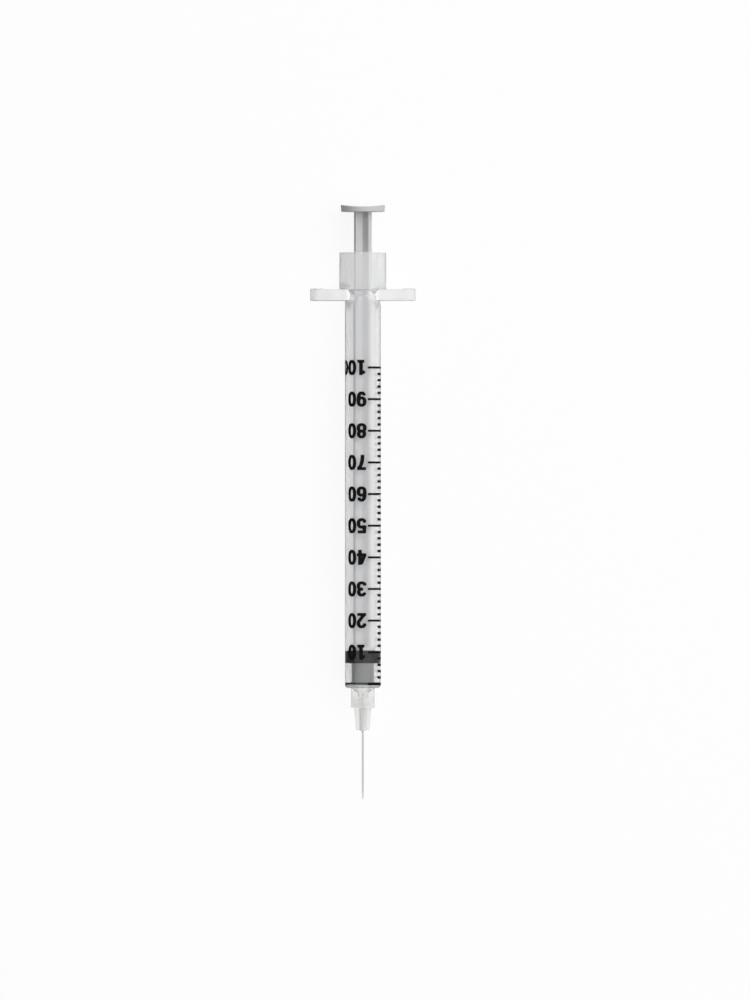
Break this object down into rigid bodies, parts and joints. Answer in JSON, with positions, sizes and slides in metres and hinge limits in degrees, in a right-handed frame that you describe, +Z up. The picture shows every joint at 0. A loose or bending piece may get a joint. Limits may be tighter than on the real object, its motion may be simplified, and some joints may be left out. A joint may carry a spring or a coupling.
{
  "type": "insulin syringe",
  "caption": "Clear insulin syringe with a fixed thin needle on a finned hub, a black unit scale, a dark rubber stopper and a cross-shaped plunger rod with a thumb pad.",
  "frame": {"origin": "on the surface it lies on, below the middle of the syringe's length and width", "axes": "+Y along the barrel's axis from the needle towards the thumb pad, +X along the finger flange's ears, +Z up through the printed front of the barrel"},
  "size_m": [0.019, 0.1074, 0.0088],
  "materials": {
    "clear_plastic": "clear polypropylene, smooth and slightly hazy",
    "ink": "black screen-printed ink",
    "stopper_rubber": "black rubber with a satin skin",
    "rod_plastic": "light grey moulded plastic, slightly translucent",
    "hub_plastic": "milky clear moulded plastic",
    "needle_steel": "drawn stainless steel, electropolished",
    "glue": "cured clear adhesive"
  },
  "bodies": {
    "barrel": {"barrel": "clear_plastic", "scale_marks": "ink", "needle_hub": "hub_plastic", "needle": "needle_steel", "needle_adhesive": "glue"},
    "stopper": {"stopper": "stopper_rubber"},
    "plunger": {"plunger_rod": "rod_plastic"}
  },
  "joints": [
    {"name": "plunger_slide", "type": "slide", "parent": "barrel", "child": "stopper", "axis": [0, 1, 0], "range_m": [0, 0.06378]},
    {"name": "rod_turn", "type": "hinge", "parent": "stopper", "child": "plunger", "pos_m": [0, -0.0286, 0.0044], "axis": [0, 1, 0], "continuous": true}
  ]
}
